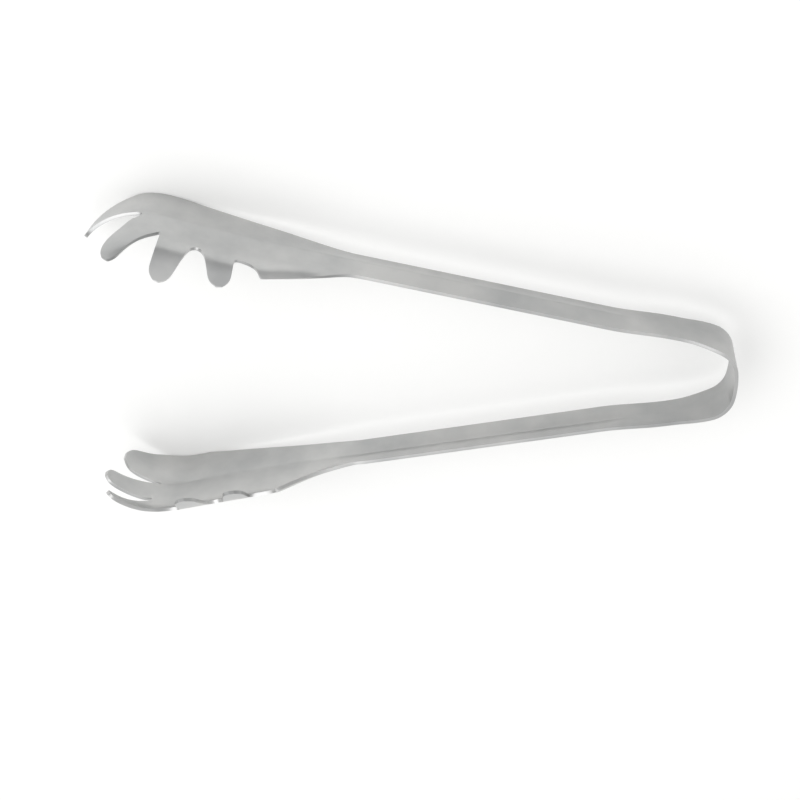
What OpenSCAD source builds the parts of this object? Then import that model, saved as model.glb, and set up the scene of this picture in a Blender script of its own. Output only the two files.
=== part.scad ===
// Ice tongs: one strip of stainless sheet, bent into a V, with a hollow clawed palm on each arm.
// The tongs lie on their side. +X points to the bow, +Y to the upper arm, +Z away from the rest
// surface. The origin is the middle of the bottom of the bounding box. Millimetres.

/* [Sheet] */
// Thickness of the sheet
sheet = 1; // [0.6:0.1:1.6]
// Clearance across each flex line of the bow
flex_gap = 0.15; // [0.13:0.01:0.3]

/* [Bow] */
// Width of the strip round the bow
bow_w = 14.2; // [10:0.1:18]
// Radius of the gently curved back
back_r = 30; // [15:1:60]
// Angle that each half of the back turns through
back_turn = 8.3; // [4:0.1:20]
// Radius of the two shoulders
shoulder_r = 8.2; // [5:0.1:14]
// Angle that each shoulder turns through
shoulder_turn = 58; // [40:1:64]
// Radius of the easing from shoulder to arm
easing_r = 42; // [20:1:80]

/* [Arms] */
// Length of an arm from the end of the bow to the claw
arm_len = 93.5; // [60:0.5:140]
// Width of an arm
arm_w = 11.2; // [8:0.1:16]
// Angle between an arm and the middle plane of the tongs
arm_angle = 11.8; // [8:0.1:16]
// Height of the stiffening ridge along an arm
ridge_h = 1.1; // [0:0.1:1.6]

/* [Claws] */
// How fast the far rim of the palm flares
far_flare = 0.16; // [0.1:0.005:0.24]
// How fast the near rim of the palm flares
near_flare = 0.5; // [0.3:0.01:0.6]
// Distance from the neck to the heel corner of the near rim
heel_at = 23; // [18:0.1:26]
// Width of the turned-in margin between the neck and the heel
margin_w = 4.6; // [3:0.1:7]
// Width of the rolled-in side of the palm at the prongs
roll_w = 6; // [4:0.5:13]
// Angle of the turned-in margin and of the side prongs
margin_angle = 50; // [30:1:65]
// Share of that angle that the front prongs lose
front_opening = 0.4; // [0:0.01:0.8]
// Distance from the neck to the start of the front curl
curl_at = 52.7; // [46:0.1:60]
// Radius of the front curl
curl_r = 22; // [16:0.1:40]
// Angle that the palm arches outward through, from the neck to the curl
palm_arch = 3.2; // [0:0.1:8]
// Extra width of the near side beyond the heel
side_swell = 1.2; // [0:0.1:3]
// Depth of the round notch between two prongs
notch_depth = 3.2; // [1.5:0.1:5]
// Scale of the prongs' lengths
prong_scale = 1; // [0.8:0.01:1.2]

/* [Hidden] */
$fn = 96;
steel = "#b9b9b7";
dark_steel = "#a2a2a0";

// Prongs of each claw from the far front corner round to the heel, in the flat blank:
// [distance from the neck, offset to the near side, direction, length, root width, tip width]
upper_prongs = [
    [60, -7, 10, 19, 13, 5],
    [56.5, 5.5, 55, 16, 10, 5],
    [47, 11, 80, 12, 9, 5.5],
    [34.5, 12.5, 102, 8, 8, 5.5]
];
lower_prongs = [
    [63, -5.5, 6, 13, 14, 8],
    [66.5, 6.5, 10, 13.5, 7.5, 5],
    [62.5, 14, 25, 18.5, 7, 4],
    [49, 15, 88, 8.5, 9, 5.5],
    [35.5, 15, 98, 7.5, 8, 5.5]
];

// Lengths along the middle of the strip, from the middle of the back
back_len = back_r * back_turn * PI / 180;
shoulder_len = shoulder_r * shoulder_turn * PI / 180;
easing_turn = 90 - back_turn - shoulder_turn - arm_angle;
easing_len = easing_r * easing_turn * PI / 180;
flex_at = back_len + shoulder_len / 2;
bow_end = back_len + shoulder_len + easing_len;
neck_at = bow_end + arm_len;
curl_full = 360;

// The point of the palm's middle line that its front is ruled from, as a distance from the neck
apex = curl_at - 3;

// The bends of the strip in order, as [length, angle]; a positive angle turns it inward
BENDS = [
    [back_len, back_turn],
    [shoulder_len, shoulder_turn],
    [easing_len, easing_turn],
    [arm_len, 0],
    [curl_at, -palm_arch],
    [curl_r * curl_full * PI / 180, curl_full]
];

// Length over which the margin widens into the roll
roll_run = 12;

// Samples of the polyhedra
rows = 4;
spine_steps = 12;
prong_across = 4;
prong_rows = 7;
notch_steps = 5;
corner_steps = 4;
arm_steps = 44;
bow_steps = 20;

function clamp01(x) = min(1, max(0, x));
function ease(x) = clamp01(x) * clamp01(x) * (3 - 2 * clamp01(x));
function mix(a, b, t) = a + (b - a) * t;
function unit(v) = v / norm(v);

// Place and heading [x, y, heading] after going on by s from p through the bends from number i
function follow(s, p = [0, 0, 90], i = 0) =
    let (
        bend = BENDS[i],
        last = i == len(BENDS) - 1 || s <= bend[0],
        d = last ? s : bend[0],
        turn = bend[1] * d / bend[0],
        r = bend[1] == 0 ? 0 : bend[0] * 180 / PI / bend[1],
        h = p[2] + turn,
        q = bend[1] == 0
            ? [p[0] + d * cos(h), p[1] + d * sin(h), h]
            : [p[0] + r * (sin(h) - sin(p[2])), p[1] - r * (cos(h) - cos(p[2])), h]
    )
    last ? q : follow(s - d, q, i + 1);

// Half-widths of the blank on its far and near sides at s
function flared(s) = s <= neck_at ? 0 : pow(s - neck_at, 2) / (s - neck_at + 3);
function strip_half(s) = mix(bow_w, arm_w, ease((s - flex_at) / (bow_end - flex_at) - 0.2)) / 2;
function far_half(s) = strip_half(s) + far_flare * flared(min(s, neck_at + curl_at));
function near_half(s) =
    strip_half(s) + near_flare * flared(min(s, neck_at + heel_at))
    + side_swell * ease((s - neck_at - heel_at) / 12);

// Height of the ridge: none at the bow, full along the arm, half in the palm
function ridge(s) =
    ridge_h * ease((s - bow_end - 4) / 18) * mix(1, 0.5, ease((s - neck_at) / heel_at));

// The turned-in margin at an offset v: [lateral place, depth inward]
function margin(s, v) =
    let (
        fade = 1 - front_opening * ease((s - neck_at - curl_at) / 12),
        full = margin_angle * ease((s - neck_at + 4) / heel_at) * fade,
        width = mix(margin_w, roll_w, ease((s - neck_at - heel_at) / roll_run)),
        start = near_half(s) - width,
        bend_w = width * 0.85,
        past = v - start
    )
    past <= 0 || full < 0.01 ? [v, 0] : turned(past, start, full, bend_w);
function turned(past, start, full, bend_w) =
    let (
        d = min(past, bend_w),
        a = full * d / bend_w,
        r = bend_w * 180 / PI / full,
        straight = past - d
    )
    [start + r * sin(a) + straight * cos(a), r * (1 - cos(a)) + straight * sin(a)];

// Middle surface of the formed strip at length s and offset v from its middle line
function formed(s, v) =
    let (
        c = follow(s),
        m = margin(s, v),
        aside = clamp01(abs(v) * 2 / arm_w),
        depth = m[1] + ridge(s) * aside * (2 - aside)
    )
    [c[0] - sin(c[2]) * depth, c[1] + cos(c[2]) * depth, m[0]];
nudge = 0.02;
function outward(s, v) = unit(cross(
    formed(s, v + nudge) - formed(s, v - nudge),
    formed(s + nudge, v) - formed(s - nudge, v)
));

// A strip of sheet from its blank: points [s, v], faces seen from outside, and the rim in order
module sheet_solid(blank, faces, rim) {
    n = len(blank);
    middle = [for (b = blank) formed(b[0], b[1])];
    normals = [for (b = blank) outward(b[0], b[1]) * sheet / 2];
    points = concat(
        [for (i = [0 : n - 1]) middle[i] + normals[i]],
        [for (i = [0 : n - 1]) middle[i] - normals[i]]
    );
    walls = [for (i = [0 : len(rim) - 1])
        let (a = rim[i], b = rim[(i + 1) % len(rim)]) [b, a, a + n, b + n]];
    inside = [for (f = faces) [for (i = [len(f) - 1 : -1 : 0]) f[i] + n]];
    polyhedron(points, concat(faces, inside, walls), convexity = 10);
}

// Both arms are this strip; the lower one is its mirror image
module arm_strip() {
    from = flex_at + flex_gap / 2;
    across = 2 * rows;
    blank = [for (i = [0 : arm_steps], j = [0 : across])
        let (s = mix(from, neck_at, i / arm_steps), t = j / rows - 1)
        [s, t < 0 ? t * far_half(s) : t * near_half(s)]];
    w = across + 1;
    faces = [for (i = [0 : arm_steps - 1], j = [0 : across - 1])
        [i * w + j, (i + 1) * w + j, (i + 1) * w + j + 1, i * w + j + 1]];
    rim = concat(
        [for (i = [0 : arm_steps]) i * w],
        [for (j = [1 : across]) arm_steps * w + j],
        [for (i = [arm_steps - 1 : -1 : 0]) i * w + across],
        [for (j = [across - 1 : -1 : 1]) j]
    );
    sheet_solid(blank, faces, rim);
}

// A point of a prong's blank: t across from -1 to 1, u along from 0 to 1
function prong_point(prong, t, u) =
    let (
        along = [cos(prong[2]), sin(prong[2])],
        side = [-along[1], along[0]],
        length = prong[3] * prong_scale,
        round_from = 1 - prong[5] / 2 / length,
        past = (u - round_from) / (1 - round_from),
        rounding = past <= 0 ? 1 : max(0.3, sqrt(1 - past * past)),
        half = mix(prong[4], prong[5], pow(u, 0.8)) / 2 * rounding
    )
    [prong[0], prong[1]] + along * length * u + side * half * t;

// A point of the round notch between prong a and prong b, t from 0 to 1; it is cut back along the
// line that the palm is ruled by
function notch_point(a, b, t) =
    let (
        p = prong_point(a, 1, 0),
        q = prong_point(b, -1, 0),
        middle = (p + q) / 2,
        c = middle - unit(middle - [min(middle[0], apex), 0]) * notch_depth
    )
    p * pow(1 - t, 2) + c * 2 * t * (1 - t) + q * pow(t, 2);

// A claw: a palm ruled from its spine out to its rim, and a grid for each prong
module claw_strip(prongs) {
    count = len(prongs);
    last = prongs[count - 1];
    heel = [heel_at, near_half(neck_at + heel_at)];
    heel_root = prong_point(last, 1, 0);
    per_prong = prong_across + notch_steps + 1;

    // The rim of the palm, from the neck round the front and back to the neck
    far_side = [for (i = [0 : spine_steps])
        let (a = apex * i / spine_steps) [a, -far_half(neck_at + a)]];
    far_end = far_side[spine_steps];
    far_corner = [for (i = [1 : corner_steps - 1])
        mix(far_end, prong_point(prongs[0], -1, 0), i / corner_steps)];
    far_rim = concat(far_side, far_corner);
    front = [for (k = [0 : count - 1]) each concat(
        [for (i = [0 : prong_across]) prong_point(prongs[k], 2 * i / prong_across - 1, 0)],
        k == count - 1 ? [] : [for (i = [1 : notch_steps])
            notch_point(prongs[k], prongs[k + 1], i / (notch_steps + 1))]
    )];
    step_in = [for (t = [0.25 : 0.25 : 0.75]) mix(heel_root, heel, t) + [-1.4, -0.9] * sin(180 * t)];
    near_rim = [for (i = [spine_steps : -1 : 0])
        let (a = heel_at * i / spine_steps) [a, near_half(neck_at + a)]];
    rim = concat(far_rim, front, step_in, near_rim);
    total = len(rim) - 1;

    // The point of the spine that each rim point is ruled from
    turn_at = spine_steps;
    back_at = len(far_rim) + len(front) - 2 * prong_across - 2;
    function spine(k) =
        k <= turn_at ? k
        : k <= back_at ? spine_steps
        : round(spine_steps * (total - k) / (total - back_at));
    function spine_point(k) = [apex * spine(k) / spine_steps, 0];

    w = rows + 1;
    palm = [for (k = [0 : total], r = [0 : rows]) mix(spine_point(k), rim[k], r / rows)];
    palm_faces = [for (k = [0 : total - 1], r = [0 : rows - 1])
        let (a = k * w + r, b = a + w)
        r == 0 && spine(k) == spine(k + 1) ? [a, a + 1, b + 1] : [a, a + 1, b + 1, b]];

    // The prongs beyond their roots
    pw = prong_across + 1;
    tips = [for (p = prongs, j = [1 : prong_rows], i = [0 : prong_across])
        prong_point(p, 2 * i / prong_across - 1, sin(90 * j / prong_rows))];
    first = len(palm);
    function root_index(k, i) = (len(far_rim) + k * per_prong + i) * w + rows;
    function prong_index(k, j, i) =
        j == 0 ? root_index(k, i) : first + (k * prong_rows + j - 1) * pw + i;
    prong_faces = [for (k = [0 : count - 1], j = [0 : prong_rows - 1], i = [0 : prong_across - 1])
        [prong_index(k, j, i), prong_index(k, j + 1, i), prong_index(k, j + 1, i + 1), prong_index(k, j, i + 1)]];

    // The cut edge all round
    function notch_index(k, i) = root_index(k, prong_across + i);
    edge = concat(
        [for (k = [0 : len(far_rim) - 1]) k * w + rows],
        [for (k = [0 : count - 1]) each concat(
            [for (j = [0 : prong_rows]) prong_index(k, j, 0)],
            [for (i = [1 : prong_across]) prong_index(k, prong_rows, i)],
            [for (j = [prong_rows - 1 : -1 : 0]) prong_index(k, j, prong_across)],
            k == count - 1 ? [] : [for (i = [1 : notch_steps]) notch_index(k, i)]
        )],
        [for (k = [len(far_rim) + len(front) : total]) k * w + rows],
        [for (r = [rows - 1 : -1 : 0]) total * w + r],
        [for (r = [1 : rows - 1]) r]
    );
    blank = [for (b = concat(palm, tips)) [neck_at + b[0], b[1]]];
    sheet_solid(blank, concat(palm_faces, prong_faces), edge);
}

// Extents of the claws, which set the origin: the prongs and the far rims, on both faces
outline = concat(
    [for (p = concat(upper_prongs, lower_prongs), t = [-1 : 0.5 : 1], j = [0 : prong_rows])
        prong_point(p, t, sin(90 * j / prong_rows))],
    [for (i = [0 : spine_steps]) let (a = apex * i / spine_steps) [a, -far_half(neck_at + a)]]
);
outline_3d = [for (b = outline, side = [-1, 1])
    formed(neck_at + b[0], b[1]) + side * sheet / 2 * outward(neck_at + b[0], b[1])];
middle_x = (min([for (p = outline_3d) p[0]]) + sheet / 2) / 2;
lowest_z = min([for (p = outline_3d) p[2]]);

// The bow from one flex line to the other: offset d is outward from the middle of the sheet
function bow_point(s, d) =
    let (c = follow(abs(s)), side = s < 0 ? -1 : 1)
    [c[0] + sin(c[2]) * d, side * (c[1] - cos(c[2]) * d)];
module bow_profile() {
    end = flex_at - flex_gap / 2;
    places = [for (i = [-bow_steps : bow_steps]) end * i / bow_steps];
    polygon(concat(
        [for (s = places) bow_point(s, sheet / 2)],
        [for (i = [len(places) - 1 : -1 : 0]) bow_point(places[i], -sheet / 2)]
    ));
}

// From the middle of the bow's back to the origin of the part
module placed() {
    translate([-middle_x, 0, -lowest_z]) children();
}

module spring_bow() {
    color(steel) placed() translate([0, 0, -bow_w / 2]) linear_extrude(bow_w) bow_profile();
}

module upper_arm() {
    color(dark_steel) placed() arm_strip();
}

module lower_arm() {
    color(steel) placed() mirror([0, 1, 0]) arm_strip();
}

module upper_claw() {
    color(steel) placed() claw_strip(upper_prongs);
}

module lower_claw() {
    color(dark_steel) placed() mirror([0, 1, 0]) claw_strip(lower_prongs);
}

spring_bow();
upper_arm();
lower_arm();
upper_claw();
lower_claw();
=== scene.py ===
"""Ice tongs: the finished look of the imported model.

The real tongs are one strip of stainless sheet, so the two visual pieces are the two limbs of that
strip, each from the middle of the bow's back to the tips of its prongs. A limb is cut flat, formed by
the same bends as the CAD model, given its thickness and softened along its cut edges.
All lengths are in metres. +X points to the bow, +Y to the upper arm, +Z away from the table.
"""

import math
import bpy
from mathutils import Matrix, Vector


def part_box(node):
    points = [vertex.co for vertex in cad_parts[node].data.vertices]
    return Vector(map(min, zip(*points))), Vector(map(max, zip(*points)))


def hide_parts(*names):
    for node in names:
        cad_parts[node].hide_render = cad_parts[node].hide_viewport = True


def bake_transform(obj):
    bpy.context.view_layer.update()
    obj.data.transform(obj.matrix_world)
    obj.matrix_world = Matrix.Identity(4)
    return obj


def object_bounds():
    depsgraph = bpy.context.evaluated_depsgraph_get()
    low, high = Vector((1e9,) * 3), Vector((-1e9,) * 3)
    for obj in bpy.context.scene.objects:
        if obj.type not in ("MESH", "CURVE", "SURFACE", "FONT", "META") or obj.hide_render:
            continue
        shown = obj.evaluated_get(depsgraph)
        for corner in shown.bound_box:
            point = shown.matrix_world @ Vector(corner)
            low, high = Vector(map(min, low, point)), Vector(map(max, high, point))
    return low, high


bl_info = {
    "name": "Ice Tongs",
    "version": (1, 0, 0),
    "blender": (4, 5, 0),
    "location": "View3D > Sidebar > Ice Tongs",
    "description": "Builds the formed steel strip of the ice tongs and a studio to show it in",
    "category": "Add Mesh",
}

import bpy
from bpy.props import FloatProperty, FloatVectorProperty, PointerProperty, StringProperty
from mathutils import Matrix, Vector

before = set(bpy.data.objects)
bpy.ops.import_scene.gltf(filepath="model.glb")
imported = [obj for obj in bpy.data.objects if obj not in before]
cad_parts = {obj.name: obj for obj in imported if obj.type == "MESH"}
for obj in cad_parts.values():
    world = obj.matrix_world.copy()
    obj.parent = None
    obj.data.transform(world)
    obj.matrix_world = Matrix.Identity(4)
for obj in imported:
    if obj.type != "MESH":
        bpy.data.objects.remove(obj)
cad_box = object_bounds()

MM = 0.001
BOW_LOW, BOW_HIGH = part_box("spring_bow")
BOW_WIDTH = BOW_HIGH.z - BOW_LOW.z
BOW_MID_Z = (BOW_HIGH.z + BOW_LOW.z) / 2

# Prongs of each claw from the far front corner round to the heel, in the flat blank, in mm:
# (distance from the neck, offset to the near side, direction, length, root width, tip width)
UPPER_PRONGS = (
    (60, -7, 10, 19, 13, 5),
    (56.5, 5.5, 55, 16, 10, 5),
    (47, 11, 80, 12, 9, 5.5),
    (34.5, 12.5, 102, 8, 8, 5.5),
)
LOWER_PRONGS = (
    (63, -5.5, 6, 13, 14, 8),
    (66.5, 6.5, 10, 13.5, 7.5, 5),
    (62.5, 14, 25, 18.5, 7, 4),
    (49, 15, 88, 8.5, 9, 5.5),
    (35.5, 15, 98, 7.5, 8, 5.5),
)


# ---------------------------------------------------------------- settings


class TongsSheet(bpy.types.PropertyGroup):
    """The sheet and the bends of the strip, from the middle of the bow to the claws."""

    thickness: FloatProperty(
        name="Sheet", description="Thickness of the sheet",
        default=1.0 * MM, min=0.6 * MM, max=1.6 * MM, precision=4, unit="LENGTH")
    edge_crease: FloatProperty(
        name="Edge crease", description="How sharp the cut edges stay after tumbling",
        default=0.55, min=0.0, max=1.0, subtype="FACTOR")
    back_radius: FloatProperty(
        name="Back radius", description="Radius of the gently curved back of the bow",
        default=30 * MM, min=15 * MM, max=60 * MM, precision=4, unit="LENGTH")
    back_turn: FloatProperty(
        name="Back turn", description="Angle that each half of the back turns through",
        default=math.radians(8.3), min=0.05, max=0.4, subtype="ANGLE")
    shoulder_radius: FloatProperty(
        name="Shoulder radius", description="Radius of the two shoulders of the bow",
        default=8.2 * MM, min=5 * MM, max=14 * MM, precision=4, unit="LENGTH")
    shoulder_turn: FloatProperty(
        name="Shoulder turn", description="Angle that each shoulder turns through",
        default=math.radians(58), min=0.6, max=1.2, subtype="ANGLE")
    easing_radius: FloatProperty(
        name="Easing radius", description="Radius of the easing from shoulder to arm",
        default=42 * MM, min=20 * MM, max=80 * MM, precision=4, unit="LENGTH")
    arm_length: FloatProperty(
        name="Arm length", description="Length of an arm from the end of the bow to the claw",
        default=93.5 * MM, min=60 * MM, max=140 * MM, precision=4, unit="LENGTH")
    arm_width: FloatProperty(
        name="Arm width", description="Width of an arm",
        default=11.2 * MM, min=8 * MM, max=16 * MM, precision=4, unit="LENGTH")
    arm_angle: FloatProperty(
        name="Arm angle", description="Angle between an arm and the middle plane of the tongs",
        default=math.radians(11.8), min=0.1, max=0.3, subtype="ANGLE")
    ridge_height: FloatProperty(
        name="Ridge height", description="Height of the stiffening ridge along an arm",
        default=1.1 * MM, min=0.0, max=1.6 * MM, precision=4, unit="LENGTH")


class TongsClaw(bpy.types.PropertyGroup):
    """The hollow palm at the end of each arm."""

    far_flare: FloatProperty(
        name="Far flare", description="How fast the far rim of the palm flares", default=0.16)
    near_flare: FloatProperty(
        name="Near flare", description="How fast the near rim of the palm flares", default=0.5)
    heel: FloatProperty(
        name="Heel", description="Distance from the neck to the heel corner of the near rim",
        default=23 * MM, precision=4, unit="LENGTH")
    margin_width: FloatProperty(
        name="Margin width",
        description="Width of the turned-in margin between the neck and the heel",
        default=4.6 * MM, precision=4, unit="LENGTH")
    roll_width: FloatProperty(
        name="Roll width", description="Width of the rolled-in side of the palm at the prongs",
        default=6 * MM, precision=4, unit="LENGTH")
    margin_angle: FloatProperty(
        name="Margin angle", description="Angle of the turned-in margin and of the side prongs",
        default=math.radians(50), subtype="ANGLE")
    front_opening: FloatProperty(
        name="Front opening", description="Share of that angle that the front prongs lose",
        default=0.4, min=0.0, max=0.8, subtype="FACTOR")
    curl_start: FloatProperty(
        name="Curl start", description="Distance from the neck to the start of the front curl",
        default=52.7 * MM, precision=4, unit="LENGTH")
    curl_radius: FloatProperty(
        name="Curl radius", description="Radius of the front curl",
        default=22 * MM, precision=4, unit="LENGTH")
    palm_arch: FloatProperty(
        name="Palm arch", description="Angle that the palm arches outward through before the curl",
        default=math.radians(3.2), subtype="ANGLE")
    side_swell: FloatProperty(
        name="Side swell", description="Extra width of the near side beyond the heel",
        default=1.2 * MM, precision=4, unit="LENGTH")
    notch_depth: FloatProperty(
        name="Notch depth", description="Depth of the round notch between two prongs",
        default=3.2 * MM, precision=4, unit="LENGTH")


class TongsFinish(bpy.types.PropertyGroup):
    """The colours of the steel and of the studio, as sRGB hex values."""

    face_light: StringProperty(
        name="Face, light", description="Polished high places of the sheet", default="#C9C9C8")
    face_dark: StringProperty(
        name="Face, dark", description="Duller places of the sheet", default="#B4B5B5")
    # The cut edge colour is the edge's own duller grey, darkened further as painted shade for the dark
    # lines along the rims
    edge_and_shade_colour: StringProperty(
        name="Cut edge", description="Tumbled cut edge of the sheet", default="#8C8C8A")
    floor_colour: StringProperty(
        name="Floor", description="Pale floor of the studio", default="#F4F4F3")
    # Painted shade: how dark the arms and bow are painted towards the bow, standing for the darker
    # surroundings that they reflect
    painted_shade_tone: FloatProperty(
        name="Handled tone", description="Brightness left on the arms and bow, where hands hold them",
        default=0.86, min=0.4, max=1.0, subtype="FACTOR")
    grain_spacing: FloatProperty(
        name="Grain spacing", description="Width of one polishing line across the sheet",
        default=0.25 * MM, precision=5, unit="LENGTH")


class TongsCamera(bpy.types.PropertyGroup):
    """The camera: its turns about the row's axes and the place of the bow in front of it."""

    yaw: FloatProperty(name="Yaw", description="Turn about the tongs' upright axis",
                       default=0.089, subtype="ANGLE")
    tilt: FloatProperty(name="Tilt", description="Turn down from the tongs' own plane",
                        default=0.595, subtype="ANGLE")
    roll: FloatProperty(name="Roll", description="Turn about the line of sight",
                        default=-0.020, subtype="ANGLE")
    offset: FloatVectorProperty(
        name="Offset", description="The bow's place from the lens: right, up and away",
        default=(92.54 * MM, 7.442 * MM, 416.5 * MM), size=3, precision=5, unit="LENGTH")
    lens: FloatProperty(name="Lens", description="Focal length in millimetres", default=67.5)


# ---------------------------------------------------------------- the rule that forms the strip

FLARE_START = 3 * MM
MARGIN_LEAD = 4 * MM
RIDGE_FADE = 18 * MM
RIDGE_FROM = 4 * MM
SWELL_RUN = 12 * MM
OPENING_RUN = 12 * MM
ROLL_RUN = 12 * MM
RIDGE_CREST = 0.35 * MM
BEND_SHARE = 0.85
NARROWING_DELAY = 0.2
PALM_RIDGE_SHARE = 0.5
FLAT_ENOUGH = 1e-4


def ease(x):
    x = min(1.0, max(0.0, x))
    return x * x * (3 - 2 * x)


def mix(a, b, t):
    return a + (b - a) * t


class FormedStrip:
    """Takes a point of the flat blank, s along its middle line and v across it, to its place."""

    def __init__(self, sheet, claw):
        self.sheet = sheet
        self.claw = claw
        easing = math.pi / 2 - sheet.back_turn - sheet.shoulder_turn - sheet.arm_angle
        back = sheet.back_radius * sheet.back_turn
        shoulder = sheet.shoulder_radius * sheet.shoulder_turn
        self.shoulder_start = back
        self.shoulder_end = back + shoulder
        self.flex_at = back + shoulder / 2
        self.bow_end = back + shoulder + sheet.easing_radius * easing
        self.neck = self.bow_end + sheet.arm_length
        self.bends = (
            (back, sheet.back_turn),
            (shoulder, sheet.shoulder_turn),
            (sheet.easing_radius * easing, easing),
            (sheet.arm_length, 0.0),
            (claw.curl_start, -claw.palm_arch),
            (claw.curl_radius * math.tau, math.tau),
        )

    def follow(self, s):
        """Place and heading of the middle line at s, from the middle of the back."""
        x, y, heading = 0.0, 0.0, math.pi / 2
        for length, turn in self.bends:
            d = min(s, length)
            a = turn * d / length
            if abs(turn) > 0:
                r = length / turn
                x += r * (math.sin(heading + a) - math.sin(heading))
                y -= r * (math.cos(heading + a) - math.cos(heading))
            else:
                x += d * math.cos(heading)
                y += d * math.sin(heading)
            heading += a
            s -= d
            if s <= 0:
                break
        return x, y, heading

    def flared(self, s):
        past = s - self.neck
        return 0.0 if past <= 0 else past * past / (past + FLARE_START)

    def strip_half(self, s):
        narrowing = ease((s - self.flex_at) / (self.bow_end - self.flex_at) - NARROWING_DELAY)
        return mix(BOW_WIDTH, self.sheet.arm_width, narrowing) / 2

    def far_half(self, s):
        flare = self.flared(min(s, self.neck + self.claw.curl_start))
        return self.strip_half(s) + self.claw.far_flare * flare

    def near_half(self, s):
        claw = self.claw
        flare = self.flared(min(s, self.neck + claw.heel))
        swell = claw.side_swell * ease((s - self.neck - claw.heel) / SWELL_RUN)
        return self.strip_half(s) + claw.near_flare * flare + swell

    def ridge(self, s, v):
        """Drop of the sheet beside its stiffening ridge, which has a soft crest."""
        rise = ease((s - self.bow_end - RIDGE_FROM) / RIDGE_FADE)
        palm = mix(1, PALM_RIDGE_SHARE, ease((s - self.neck) / self.claw.heel))
        aside = (math.hypot(v, RIDGE_CREST) - RIDGE_CREST) * 2 / self.sheet.arm_width
        aside = min(1.0, aside)
        return self.sheet.ridge_height * rise * palm * aside * (2 - aside)

    def margin(self, s, v):
        """Place across and depth inward of an offset v, with the near margin turned in."""
        claw = self.claw
        fade = 1 - claw.front_opening * ease((s - self.neck - claw.curl_start) / OPENING_RUN)
        full = claw.margin_angle * fade * ease((s - self.neck + MARGIN_LEAD) / claw.heel)
        width = mix(claw.margin_width, claw.roll_width, ease((s - self.neck - claw.heel) / ROLL_RUN))
        start = self.near_half(s) - width
        past = v - start
        if past <= 0 or full < FLAT_ENOUGH:
            return v, 0.0
        bend_width = width * BEND_SHARE
        d = min(past, bend_width)
        a = full * d / bend_width
        r = bend_width / full
        straight = past - d
        across = start + r * math.sin(a) + straight * math.cos(a)
        return across, r * (1 - math.cos(a)) + straight * math.sin(a)

    def place(self, s, v):
        """Middle surface of the formed strip, in the row's frame, on the upper side."""
        x, y, heading = self.follow(s)
        across, depth = self.margin(s, v)
        depth += self.ridge(s, v)
        x -= math.sin(heading) * depth
        y += math.cos(heading) * depth
        return Vector((BOW_HIGH.x - self.sheet.thickness / 2 + x, y, BOW_MID_Z + across))


# ---------------------------------------------------------------- the flat blank

ROWS = 9
PRONG_ACROSS = 6
PRONG_ROWS = 7
NOTCH_STEPS = 6
RIM_STEPS = 16
CORNER_STEPS = 4
APEX_BACK = 3 * MM
STEP_BOW = (1.4 * MM, 0.9 * MM)
RIM_CROWDING = 1.25
PRONG_TAPER = 0.8
PRONG_END_SHARE = 0.3
BACK_STEPS = 5
SHOULDER_STEPS = 14
EASING_STEPS = 7
ARM_STEPS = 44


class Blank:
    """Points and faces of the flat strip. Points are [s, v]."""

    def __init__(self):
        self.points = []
        self.faces = []

    def add_rows(self, rows):
        """A grid of faces between rows of equally many points."""
        width = len(rows[0])
        first = len(self.points)
        for row in rows:
            self.points.extend(row)
        for i in range(len(rows) - 1):
            for j in range(width - 1):
                a = first + i * width + j
                self.faces.append((a, a + width, a + width + 1, a + 1))


def spread(count):
    """Shares from the middle line to a rim, closer together towards the rim."""
    return [1 - (1 - i / count) ** RIM_CROWDING for i in range(count + 1)]


def prong_point(prong, t, u):
    """A point of a prong: t across from -1 to 1, u along from 0 at its root to 1."""
    at, offset, direction, length, root, tip = prong
    along = (math.cos(math.radians(direction)), math.sin(math.radians(direction)))
    round_from = 1 - tip / 2 / length
    past = (u - round_from) / (1 - round_from)
    rounding = 1.0 if past <= 0 else max(PRONG_END_SHARE, math.sqrt(max(0.0, 1 - past * past)))
    half = mix(root, tip, u ** PRONG_TAPER) / 2 * rounding
    a = at + along[0] * length * u - along[1] * half * t
    v = offset + along[1] * length * u + along[0] * half * t
    return a * MM, v * MM


def notch_point(claw, first, second, t):
    """A point of the round notch between two prongs, cut back along the line that rules the palm."""
    p = Vector(prong_point(first, 1, 0))
    q = Vector(prong_point(second, -1, 0))
    middle = (p + q) / 2
    ruled_from = Vector((min(middle.x, claw.curl_start - APEX_BACK), 0.0))
    c = middle - (middle - ruled_from).normalized() * claw.notch_depth
    return tuple(p * (1 - t) ** 2 + c * 2 * t * (1 - t) + q * t * t)


def arm_stations(strip):
    """Places along the strip from the middle of the back to the neck, closer in tight bends."""
    stretches = (
        (0.0, strip.shoulder_start, BACK_STEPS),
        (strip.shoulder_start, strip.shoulder_end, SHOULDER_STEPS),
        (strip.shoulder_end, strip.bow_end, EASING_STEPS),
        (strip.bow_end, strip.neck, ARM_STEPS),
    )
    stations = [0.0]
    for start, end, steps in stretches:
        stations += [mix(start, end, (i + 1) / steps) for i in range(steps)]
    return stations


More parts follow.
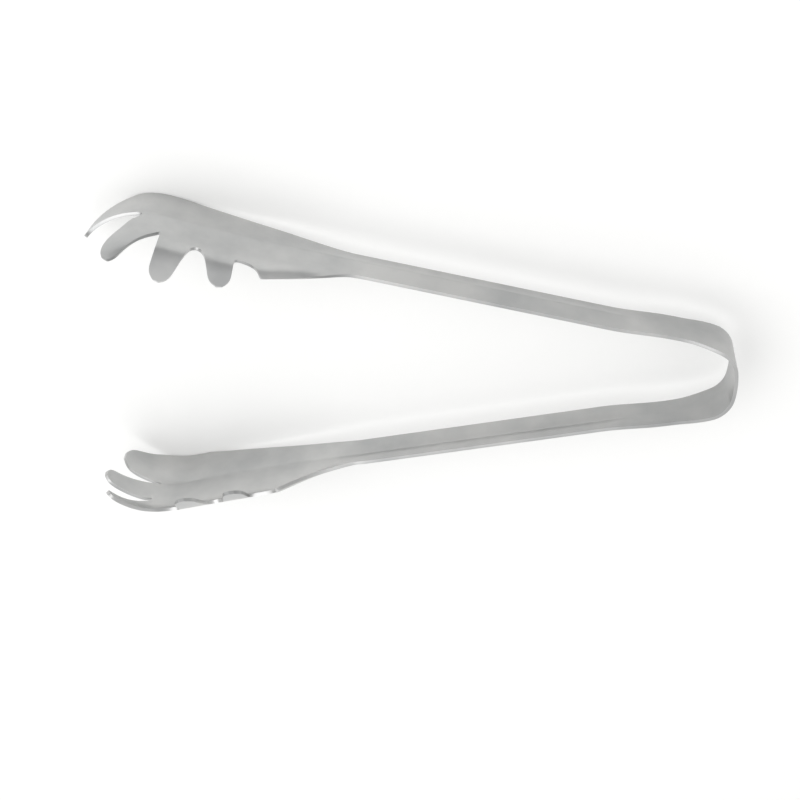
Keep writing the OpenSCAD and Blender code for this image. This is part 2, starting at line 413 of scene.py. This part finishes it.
def cut_blank(strip, prongs):
    """The flat blank of one limb."""
    claw = strip.claw
    blank = Blank()
    shares = spread(ROWS)
    blank.add_rows([
        [(s, -t * strip.far_half(s)) for t in reversed(shares)]
        + [(s, t * strip.near_half(s)) for t in shares[1:]]
        for s in arm_stations(strip)
    ])

    # The rim of the palm from the front corner of the far side round to the neck
    apex = claw.curl_start - APEX_BACK
    front = []
    for k, prong in enumerate(prongs):
        front += [prong_point(prong, 2 * i / PRONG_ACROSS - 1, 0)
                  for i in range(PRONG_ACROSS + 1)]
        if prong is not prongs[-1]:
            front += [notch_point(claw, prong, prongs[k + 1], i / (NOTCH_STEPS + 1))
                      for i in range(1, NOTCH_STEPS + 1)]
    heel = Vector((claw.heel, strip.near_half(strip.neck + claw.heel)))
    root = Vector(front[-1])
    steps = [root.lerp(heel, t) - Vector(STEP_BOW) * math.sin(math.pi * t)
             for t in (0.2, 0.4, 0.6, 0.8)]
    near = [(a, strip.near_half(strip.neck + a))
            for a in (claw.heel * (1 - i / RIM_STEPS) for i in range(RIM_STEPS + 1))]
    rim = front + [tuple(p) for p in steps] + near

    # Each rim point is ruled from the middle line straight beside it, or from the apex
    ruled = [[(mix(min(a, apex), a, t), v * t) for t in shares] for a, v in rim]
    side = [row[0][0] for row in ruled]
    far = [[(a, -t * strip.far_half(strip.neck + a)) for t in shares]
           for a in reversed(side) if a < apex]
    edge = Vector((apex, -strip.far_half(strip.neck + apex)))
    corner = [edge.lerp(Vector(front[0]), i / CORNER_STEPS) for i in range(CORNER_STEPS)]
    fan = [[(mix(apex, a, t), v * t) for t in shares] for a, v in corner]
    rows = far + fan + ruled
    blank.add_rows([[(strip.neck + a, v) for a, v in reversed(row)] for row in rows])

    # The prongs beyond their roots
    for prong in prongs:
        blank.add_rows([
            [(strip.neck + a, v) for a, v in (
                prong_point(prong, 1 - 2 * i / PRONG_ACROSS, u)
                for i in range(PRONG_ACROSS + 1))]
            for u in (math.sin(math.pi / 2 * j / PRONG_ROWS) for j in range(PRONG_ROWS + 1))
        ])
    return blank


# ---------------------------------------------------------------- making the limbs

MERGE = 0.004 * MM
SMOOTH_BELOW = math.radians(50)


def select_only(piece):
    bpy.ops.object.select_all(action="DESELECT")
    piece.select_set(True)
    bpy.context.view_layer.objects.active = piece


def apply_modifier(piece, kind, **settings):
    select_only(piece)
    modifier = piece.modifiers.new(kind.title(), kind)
    for name, value in settings.items():
        setattr(modifier, name, value)
    bpy.ops.object.modifier_apply(modifier=modifier.name)


def formed_sheet(name, strip, prongs, side):
    """The middle surface of one limb; side is 1 for the upper limb and -1 for the lower."""
    blank = cut_blank(strip, prongs)
    places = [strip.place(s, v) for s, v in blank.points]
    for p in places:
        p.y *= side
    mesh = bpy.data.meshes.new(name)
    mesh.from_pydata(places, [], blank.faces)
    piece = bpy.data.objects.new(name, mesh)
    bpy.context.scene.collection.objects.link(piece)
    return piece


def whole_strip(strip):
    """Both limbs as one formed strip with its thickness and softened edges."""
    upper = formed_sheet("strip", strip, UPPER_PRONGS, 1)
    lower = formed_sheet("lower", strip, LOWER_PRONGS, -1)
    select_only(upper)
    lower.select_set(True)
    bpy.ops.object.join()
    bpy.ops.object.mode_set(mode="EDIT")
    bpy.ops.mesh.select_all(action="SELECT")
    bpy.ops.mesh.remove_doubles(threshold=MERGE)
    bpy.ops.mesh.dissolve_degenerate(threshold=MERGE)
    bpy.ops.mesh.normals_make_consistent(inside=False)
    bpy.ops.object.mode_set(mode="OBJECT")
    upper.data.materials.append(None)
    upper.data.materials.append(None)
    crease = strip.sheet.edge_crease
    apply_modifier(
        upper, "SOLIDIFY", thickness=strip.sheet.thickness, offset=0.0,
        material_offset_rim=1, edge_crease_inner=crease, edge_crease_outer=crease)
    apply_modifier(upper, "SUBSURF", levels=2, render_levels=2)
    return upper


def cut_limb(strip_piece, name, side):
    """The half of the strip on one side of the middle plane, closed where it was cut."""
    limb = strip_piece.copy()
    limb.data = strip_piece.data.copy()
    limb.name = name
    limb.data.name = name
    bpy.context.scene.collection.objects.link(limb)
    select_only(limb)
    bpy.ops.object.mode_set(mode="EDIT")
    bpy.ops.mesh.select_all(action="SELECT")
    bpy.ops.mesh.bisect(
        plane_co=(0, 0, 0), plane_no=(0, -side, 0), use_fill=True, clear_outer=True,
        threshold=MERGE)
    bpy.ops.mesh.select_all(action="SELECT")
    bpy.ops.mesh.remove_doubles(threshold=MERGE)
    bpy.ops.mesh.normals_make_consistent(inside=False)
    bpy.ops.object.mode_set(mode="OBJECT")
    select_only(limb)
    bpy.ops.object.shade_smooth_by_angle(angle=SMOOTH_BELOW)
    return limb


# ---------------------------------------------------------------- materials


def linear(hex_colour):
    """A linear RGBA colour from an sRGB hex value."""
    parts = [int(hex_colour[i:i + 2], 16) / 255 for i in (1, 3, 5)]
    return tuple(p / 12.92 if p <= 0.04045 else ((p + 0.055) / 1.055) ** 2.4 for p in parts) + (1,)


def add_node(material, kind, inputs=None, links=(), **settings):
    """Adds one node with its settings, its input values and its links from other sockets."""
    node = material.node_tree.nodes.new(kind)
    for name, value in settings.items():
        setattr(node, name, value)
    for name, value in (inputs or {}).items():
        node.inputs[name].default_value = value
    for socket, name in links:
        material.node_tree.links.new(socket, node.inputs[name])
    return node


def new_material(name):
    material = bpy.data.materials.new(name)
    material.use_nodes = True
    material.node_tree.nodes.clear()
    return material


def output(material, shader):
    add_node(material, "ShaderNodeOutputMaterial", links=[(shader.outputs[0], "Surface")])


# The stretch along X over which the painted shade comes in: the arms and bow are darkened towards the
# bow, standing for the darker surroundings that they reflect
PAINTED_SHADE_FROM = -30 * MM
PAINTED_SHADE_TO = 15 * MM
# A polishing line is this many times as long as it is wide
LINE_STRETCH = 60
# Dull patches are about 18 mm across, peening dimples 0.4 mm, and paper fibres 1.1 mm
PATCHES_PER_METRE = 55.0
DIMPLES_PER_METRE = 2500.0
FIBRES_PER_METRE = 900.0


def satin_stainless(finish):
    """Stainless sheet, pressed and then soft-polished along its length.

    The eye sees a pale grey metal with no clear reflections: fine lines run along the strip,
    the sheen changes a little from place to place, and handling has left dull patches here and
    there. The arms and bow are also painted darker towards the bow: painted shade for the
    darker surroundings that they reflect."""
    material = new_material("satin_stainless")
    place = add_node(material, "ShaderNodeTexCoord").outputs["Object"]
    across = 1 / finish.grain_spacing
    grain_map = add_node(
        material, "ShaderNodeMapping", {"Scale": (across / LINE_STRETCH, across, across)},
        [(place, "Vector")])
    grain = add_node(
        material, "ShaderNodeTexNoise", {"Scale": 1.0, "Detail": 3.0, "Roughness": 0.6},
        [(grain_map.outputs[0], "Vector")])
    cloud = add_node(
        material, "ShaderNodeTexNoise", {"Scale": PATCHES_PER_METRE, "Detail": 4.0, "Roughness": 0.55},
        [(place, "Vector")])
    tone = add_node(
        material, "ShaderNodeValToRGB", links=[(cloud.outputs["Fac"], "Fac")])
    tone.color_ramp.elements[0].position = 0.35
    tone.color_ramp.elements[0].color = linear(finish.face_dark)
    tone.color_ramp.elements[1].position = 0.65
    tone.color_ramp.elements[1].color = linear(finish.face_light)
    along = add_node(material, "ShaderNodeSeparateXYZ", links=[(place, 0)]).outputs["X"]
    # Painted shade: the steel's colour is darkened towards the bow by this factor
    painted_shade = add_node(
        material, "ShaderNodeMapRange",
        {"From Min": PAINTED_SHADE_FROM, "From Max": PAINTED_SHADE_TO, "To Min": 1.0,
         "To Max": finish.painted_shade_tone},
        [(along, "Value")], interpolation_type="SMOOTHSTEP")
    colour = add_node(
        material, "ShaderNodeVectorMath",
        links=[(tone.outputs["Color"], 0), (painted_shade.outputs[0], 1)], operation="MULTIPLY")
    sheen = add_node(
        material, "ShaderNodeMapRange",
        {"From Min": 0.3, "From Max": 0.7, "To Min": 0.27, "To Max": 0.36},
        [(cloud.outputs["Fac"], "Value")])
    lines = add_node(
        material, "ShaderNodeMath", {1: 0.05}, [(grain.outputs["Fac"], 0)], operation="MULTIPLY")
    roughness = add_node(
        material, "ShaderNodeMath", links=[(sheen.outputs[0], 0), (lines.outputs[0], 1)],
        operation="ADD")
    bump = add_node(
        material, "ShaderNodeBump", {"Strength": 0.10, "Distance": 0.02 * MM},
        [(grain.outputs["Fac"], "Height")])
    shader = add_node(
        material, "ShaderNodeBsdfPrincipled", {"Metallic": 1.0},
        [(colour.outputs[0], "Base Color"), (roughness.outputs[0], "Roughness"),
         (bump.outputs["Normal"], "Normal")])
    output(material, shader)
    return material


def tumbled_edge_and_painted_shade(finish):
    """The cut edge of the sheet, rounded by tumbling with ceramic chips.

    It is a little duller than the faces and has no direction, only a fine peened texture. Its
    colour is much darker than the faces as painted shade: it stands for the dark lines that the
    rims show where they reflect dark surroundings."""
    material = new_material("tumbled_cut_edge_painted_shade")
    place = add_node(material, "ShaderNodeTexCoord").outputs["Object"]
    peen = add_node(
        material, "ShaderNodeTexNoise", {"Scale": DIMPLES_PER_METRE, "Detail": 2.0, "Roughness": 0.5},
        [(place, "Vector")])
    bump = add_node(
        material, "ShaderNodeBump", {"Strength": 0.15, "Distance": 0.02 * MM},
        [(peen.outputs["Fac"], "Height")])
    roughness = add_node(
        material, "ShaderNodeMapRange",
        {"From Min": 0.3, "From Max": 0.7, "To Min": 0.34, "To Max": 0.46},
        [(peen.outputs["Fac"], "Value")])
    # Painted shade: the edge colour is much darker than the faces, to draw the dark lines along the
    # rims
    shader = add_node(
        material, "ShaderNodeBsdfPrincipled",
        {"Metallic": 1.0, "Base Color": linear(finish.edge_and_shade_colour)},
        [(roughness.outputs[0], "Roughness"), (bump.outputs["Normal"], "Normal")])
    output(material, shader)
    return material


def studio_floor(finish):
    """Matt paper sweep: nearly white, with no gloss and a faint mottle of its fibres."""
    material = new_material("matt_paper")
    place = add_node(material, "ShaderNodeTexCoord").outputs["Object"]
    fibre = add_node(
        material, "ShaderNodeTexNoise", {"Scale": FIBRES_PER_METRE, "Detail": 3.0}, [(place, "Vector")])
    bump = add_node(
        material, "ShaderNodeBump", {"Strength": 0.05, "Distance": 0.05 * MM},
        [(fibre.outputs["Fac"], "Height")])
    shader = add_node(
        material, "ShaderNodeBsdfPrincipled",
        {"Base Color": linear(finish.floor_colour), "Roughness": 0.9, "Specular IOR Level": 0.1},
        [(bump.outputs["Normal"], "Normal")])
    output(material, shader)
    return material


# ---------------------------------------------------------------- operators


class TONGS_OT_limbs(bpy.types.Operator):
    """Builds the upper and the lower limb of the strip and hides the five CAD nodes.
    Builds the upper and the lower limb of the strip, which stand for all five CAD nodes
    """

    bl_idname = "tongs.limbs"
    bl_label = "Build limbs"

    def execute(self, context):
        scene = context.scene
        strip = FormedStrip(scene.tongs_sheet, scene.tongs_claw)
        whole = whole_strip(strip)
        whole.data.materials.clear()
        whole.data.materials.append(satin_stainless(scene.tongs_finish))
        whole.data.materials.append(tumbled_edge_and_painted_shade(scene.tongs_finish))
        start = strip.place(strip.shoulder_start, 0)
        end = strip.place(strip.shoulder_end, 0)
        for body, side in (("upper", 1), ("lower", -1)):
            limb = cut_limb(whole, f"{body}_limb", side)
            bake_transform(limb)
            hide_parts("spring_bow", f"{body}_arm", f"{body}_claw")
        bpy.data.objects.remove(whole)
        return {"FINISHED"}


# Soft boxes: name, place, size and power in watts
LIGHTS = (
    ("top_softbox", (-0.30, 0.10, 1.00), 1.2, 5.5),
    ("left_softbox", (-1.00, 0.30, 0.45), 0.7, 0.9),
)
# The tent round the tongs, from its dim foot to its pale top
TENT_FOOT = "#B4B4B4"
TENT_TOP = "#F4F4F4"
TENT_PALE_FROM = 0.8
FLOOR_SIZE = 4.0


class TONGS_OT_stage(bpy.types.Operator):
    """Builds the pale floor, the soft lights and the camera"""

    bl_idname = "tongs.stage"
    bl_label = "Build studio"

    def execute(self, context):
        scene = context.scene
        bpy.ops.object.select_all(action="DESELECT")
        low, high = cad_box
        bpy.ops.mesh.primitive_plane_add(size=FLOOR_SIZE, location=(0, 0, low[2]))
        floor = context.active_object
        floor.name = "floor"
        floor.data.materials.append(studio_floor(scene.tongs_finish))
        add_world(scene)
        for name, place, size, power in LIGHTS:
            add_light(name, place, size, power)
        add_camera(scene)
        return {"FINISHED"}


def add_world(scene):
    world = bpy.data.worlds.new("soft_tent")
    world.use_nodes = True
    place = add_node(world, "ShaderNodeTexCoord").outputs["Generated"]
    height = add_node(world, "ShaderNodeSeparateXYZ", links=[(place, 0)]).outputs["Z"]
    ramp = add_node(world, "ShaderNodeValToRGB", links=[(height, "Fac")])
    ramp.color_ramp.elements[0].position = 0.0
    ramp.color_ramp.elements[0].color = linear(TENT_FOOT)
    ramp.color_ramp.elements[1].position = TENT_PALE_FROM
    ramp.color_ramp.elements[1].color = linear(TENT_TOP)
    background = world.node_tree.nodes["Background"]
    world.node_tree.links.new(ramp.outputs["Color"], background.inputs["Color"])
    background.inputs["Strength"].default_value = 1.0
    scene.world = world
    scene.view_settings.view_transform = "Standard"


def add_light(name, place, size, power):
    data = bpy.data.lights.new(name, "AREA")
    data.shape = "SQUARE"
    data.size = size
    data.energy = power
    light = bpy.data.objects.new(name, data)
    light.location = place
    light.rotation_euler = (-Vector(place)).to_track_quat("-Z", "Y").to_euler()
    bpy.context.scene.collection.objects.link(light)


def add_camera(scene):
    settings = scene.tongs_camera
    yaw, tilt, roll = settings.yaw, settings.tilt, settings.roll
    turn_yaw = Matrix.Rotation(-yaw, 3, "Y")
    turn_tilt = Matrix.Rotation(tilt, 3, "X")
    turn_roll = Matrix.Rotation(-roll, 3, "Z")
    facing = (turn_roll @ turn_tilt @ turn_yaw).transposed()
    right, up, away = settings.offset
    bow_middle = Vector((BOW_HIGH.x - scene.tongs_sheet.thickness / 2, 0, BOW_MID_Z))
    data = bpy.data.cameras.new("camera")
    data.lens = settings.lens
    camera = bpy.data.objects.new("camera", data)
    place = facing @ Vector((-right, -up, away)) + bow_middle
    camera.matrix_world = Matrix.Translation(place) @ facing.to_4x4()
    scene.collection.objects.link(camera)
    scene.camera = camera


class TONGS_PT_panel(bpy.types.Panel):
    """The sizes and colours of the tongs and the buttons that build them"""

    bl_idname = "TONGS_PT_panel"
    bl_label = "Ice Tongs"
    bl_space_type = "VIEW_3D"
    bl_region_type = "UI"
    bl_category = "Ice Tongs"

    def draw(self, context):
        layout = self.layout
        for group in (context.scene.tongs_sheet, context.scene.tongs_claw,
                      context.scene.tongs_finish, context.scene.tongs_camera):
            box = layout.box()
            for name in group.__annotations__:
                box.prop(group, name)
        for operator in OPERATORS:
            layout.operator(operator.bl_idname)


GROUPS = {
    "tongs_sheet": TongsSheet,
    "tongs_claw": TongsClaw,
    "tongs_finish": TongsFinish,
    "tongs_camera": TongsCamera,
}
OPERATORS = (TONGS_OT_limbs, TONGS_OT_stage)
CLASSES = (*GROUPS.values(), *OPERATORS, TONGS_PT_panel)


def register():
    for cls in CLASSES:
        bpy.utils.register_class(cls)
    for name, group in GROUPS.items():
        setattr(bpy.types.Scene, name, PointerProperty(type=group))


def unregister():
    for name in GROUPS:
        delattr(bpy.types.Scene, name)
    for cls in reversed(CLASSES):
        bpy.utils.unregister_class(cls)


def main():
    register()
    bpy.ops.tongs.limbs()
    bpy.ops.tongs.stage()


if __name__ == "__main__":
    main()
